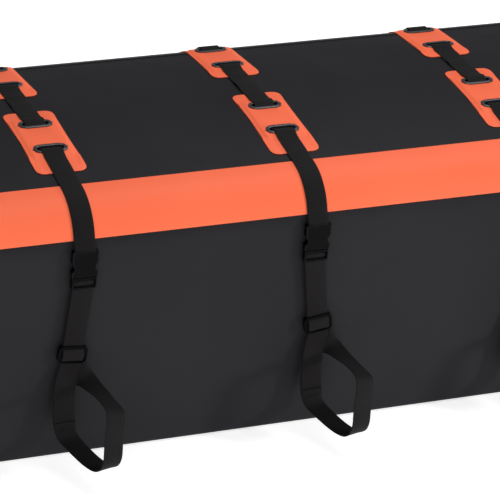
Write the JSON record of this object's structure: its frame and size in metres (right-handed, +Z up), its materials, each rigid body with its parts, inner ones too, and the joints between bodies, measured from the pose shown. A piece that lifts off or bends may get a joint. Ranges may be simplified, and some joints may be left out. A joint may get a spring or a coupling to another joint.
{
  "type": "rear cargo box",
  "caption": "Soft-sided waterproof cargo bag for a rear hitch rack, with a domed lid, an orange storm flap, strap patches, and webbing straps with buckles and hanging loops.",
  "frame": {"origin": "middle of the underside", "axes": "+X along the bag to the right seen from the front, -Y out of the front face, +Z up"},
  "size_m": [1.5, 0.8902, 0.5086],
  "materials": {
    "buckle_female_left_back": "moulded plastic, satin",
    "buckle_female_left_front": "moulded plastic, satin",
    "buckle_female_middle_back": "moulded plastic, satin",
    "buckle_female_middle_front": "moulded plastic, satin",
    "buckle_female_right_back": "moulded plastic, satin",
    "buckle_female_right_front": "moulded plastic, satin",
    "buckle_male_left_back": "moulded plastic, satin",
    "buckle_male_left_front": "moulded plastic, satin",
    "buckle_male_middle_back": "moulded plastic, satin",
    "buckle_male_middle_front": "moulded plastic, satin",
    "buckle_male_right_back": "moulded plastic, satin",
    "buckle_male_right_front": "moulded plastic, satin",
    "eyelet_left_back_inner": "moulded plastic, satin",
    "eyelet_left_back_outer": "moulded plastic, satin",
    "eyelet_left_front_inner": "moulded plastic, satin",
    "eyelet_left_front_outer": "moulded plastic, satin",
    "eyelet_middle_back_inner": "moulded plastic, satin",
    "eyelet_middle_back_outer": "moulded plastic, satin",
    "eyelet_middle_front_inner": "moulded plastic, satin",
    "eyelet_middle_front_outer": "moulded plastic, satin",
    "eyelet_right_back_inner": "moulded plastic, satin",
    "eyelet_right_back_outer": "moulded plastic, satin",
    "eyelet_right_front_inner": "moulded plastic, satin",
    "eyelet_right_front_outer": "moulded plastic, satin",
    "hinge_strip": "coated tarpaulin, satin",
    "lid_side_back": "coated tarpaulin, satin",
    "lid_side_front": "coated tarpaulin, satin",
    "lid_side_left": "coated tarpaulin, satin",
    "lid_side_right": "coated tarpaulin, satin",
    "lid_top": "coated tarpaulin, satin",
    "patch_left_back": "coated tarpaulin, satin",
    "patch_left_front": "coated tarpaulin, satin",
    "patch_middle_back": "coated tarpaulin, satin",
    "patch_middle_front": "coated tarpaulin, satin",
    "patch_right_back": "coated tarpaulin, satin",
    "patch_right_front": "coated tarpaulin, satin",
    "storm_flap": "coated tarpaulin, satin",
    "triglide_left_back": "moulded plastic, satin",
    "triglide_left_front": "moulded plastic, satin",
    "triglide_middle_back": "moulded plastic, satin",
    "triglide_middle_front": "moulded plastic, satin",
    "triglide_right_back": "moulded plastic, satin",
    "triglide_right_front": "moulded plastic, satin",
    "tub": "coated tarpaulin, satin",
    "webbing_lower_left_back": "woven webbing, matt",
    "webbing_lower_left_front": "woven webbing, matt",
    "webbing_lower_middle_back": "woven webbing, matt",
    "webbing_lower_middle_front": "woven webbing, matt",
    "webbing_lower_right_back": "woven webbing, matt",
    "webbing_lower_right_front": "woven webbing, matt",
    "webbing_over_left": "woven webbing, matt",
    "webbing_over_middle": "woven webbing, matt",
    "webbing_over_right": "woven webbing, matt",
    "zip_lower": "coil zip on woven tape",
    "zip_pull": "coated metal",
    "zip_slider": "coated metal",
    "zip_upper": "coil zip on woven tape"
  },
  "bodies": {
    "bag": {"buckle_female_left_back": "buckle_female_left_back", "buckle_female_left_front": "buckle_female_left_front", "buckle_female_middle_back": "buckle_female_middle_back", "buckle_female_middle_front": "buckle_female_middle_front", "buckle_female_right_back": "buckle_female_right_back", "buckle_female_right_front": "buckle_female_right_front", "eyelet_left_back_inner": "eyelet_left_back_inner", "eyelet_left_back_outer": "eyelet_left_back_outer", "eyelet_left_front_inner": "eyelet_left_front_inner", "eyelet_left_front_outer": "eyelet_left_front_outer", "eyelet_middle_back_inner": "eyelet_middle_back_inner", "eyelet_middle_back_outer": "eyelet_middle_back_outer", "eyelet_middle_front_inner": "eyelet_middle_front_inner", "eyelet_middle_front_outer": "eyelet_middle_front_outer", "eyelet_right_back_inner": "eyelet_right_back_inner", "eyelet_right_back_outer": "eyelet_right_back_outer", "eyelet_right_front_inner": "eyelet_right_front_inner", "eyelet_right_front_outer": "eyelet_right_front_outer", "hinge_strip": "hinge_strip", "lid_side_back": "lid_side_back", "lid_side_front": "lid_side_front", "lid_side_left": "lid_side_left", "lid_side_right": "lid_side_right", "lid_top": "lid_top", "patch_left_back": "patch_left_back", "patch_left_front": "patch_left_front", "patch_middle_back": "patch_middle_back", "patch_middle_front": "patch_middle_front", "patch_right_back": "patch_right_back", "patch_right_front": "patch_right_front", "storm_flap": "storm_flap", "tub": "tub", "webbing_over_left": "webbing_over_left", "webbing_over_middle": "webbing_over_middle", "webbing_over_right": "webbing_over_right", "zip_lower": "zip_lower", "zip_upper": "zip_upper"},
    "zip_slider": {"zip_slider": "zip_slider"},
    "zip_pull": {"zip_pull": "zip_pull"},
    "strap_end_left_front": {"buckle_male_left_front": "buckle_male_left_front", "webbing_lower_left_front": "webbing_lower_left_front"},
    "strap_end_left_back": {"buckle_male_left_back": "buckle_male_left_back", "webbing_lower_left_back": "webbing_lower_left_back"},
    "strap_end_middle_front": {"buckle_male_middle_front": "buckle_male_middle_front", "webbing_lower_middle_front": "webbing_lower_middle_front"},
    "strap_end_middle_back": {"buckle_male_middle_back": "buckle_male_middle_back", "webbing_lower_middle_back": "webbing_lower_middle_back"},
    "strap_end_right_front": {"buckle_male_right_front": "buckle_male_right_front", "webbing_lower_right_front": "webbing_lower_right_front"},
    "strap_end_right_back": {"buckle_male_right_back": "buckle_male_right_back", "webbing_lower_right_back": "webbing_lower_right_back"},
    "triglide_left_front": {"triglide_left_front": "triglide_left_front"},
    "triglide_left_back": {"triglide_left_back": "triglide_left_back"},
    "triglide_middle_front": {"triglide_middle_front": "triglide_middle_front"},
    "triglide_middle_back": {"triglide_middle_back": "triglide_middle_back"},
    "triglide_right_front": {"triglide_right_front": "triglide_right_front"},
    "triglide_right_back": {"triglide_right_back": "triglide_right_back"}
  },
  "joints": [
    {"name": "zip_slide", "type": "slide", "parent": "bag", "child": "zip_slider", "axis": [0, -1, 0], "range_m": [0, 0.233]},
    {"name": "pull_hinge", "type": "hinge", "parent": "zip_slider", "child": "zip_pull", "pos_m": [-0.74512, 0.165, 0.43638], "axis": [-0.4234, 0, -0.9059], "range_deg": [0, 170]},
    {"name": "buckle_release_left_front", "type": "slide", "parent": "bag", "child": "strap_end_left_front", "axis": [0, 0, -1], "range_m": [0, 0.038]},
    {"name": "triglide_slide_left_front", "type": "slide", "parent": "strap_end_left_front", "child": "triglide_left_front", "axis": [0.0982, 0, 0.9952], "range_m": [0, 0.09]},
    {"name": "buckle_release_left_back", "type": "slide", "parent": "bag", "child": "strap_end_left_back", "axis": [0, 0, -1], "range_m": [0, 0.038]},
    {"name": "triglide_slide_left_back", "type": "slide", "parent": "strap_end_left_back", "child": "triglide_left_back", "axis": [-0.0982, 0, 0.9952], "range_m": [0, 0.09]},
    {"name": "buckle_release_middle_front", "type": "slide", "parent": "bag", "child": "strap_end_middle_front", "axis": [0, 0, -1], "range_m": [0, 0.038]},
    {"name": "triglide_slide_middle_front", "type": "slide", "parent": "strap_end_middle_front", "child": "triglide_middle_front", "axis": [-0.1368, 0, 0.9906], "range_m": [0, 0.09]},
    {"name": "buckle_release_middle_back", "type": "slide", "parent": "bag", "child": "strap_end_middle_back", "axis": [0, 0, -1], "range_m": [0, 0.038]},
    {"name": "triglide_slide_middle_back", "type": "slide", "parent": "strap_end_middle_back", "child": "triglide_middle_back", "axis": [0.1368, 0, 0.9906], "range_m": [0, 0.09]},
    {"name": "buckle_release_right_front", "type": "slide", "parent": "bag", "child": "strap_end_right_front", "axis": [0, 0, -1], "range_m": [0, 0.038]},
    {"name": "triglide_slide_right_front", "type": "slide", "parent": "strap_end_right_front", "child": "triglide_right_front", "axis": [0.0263, 0, 0.9997], "range_m": [0, 0.09]},
    {"name": "buckle_release_right_back", "type": "slide", "parent": "bag", "child": "strap_end_right_back", "axis": [0, 0, -1], "range_m": [0, 0.038]},
    {"name": "triglide_slide_right_back", "type": "slide", "parent": "strap_end_right_back", "child": "triglide_right_back", "axis": [-0.0263, 0, 0.9997], "range_m": [0, 0.09]}
  ]
}
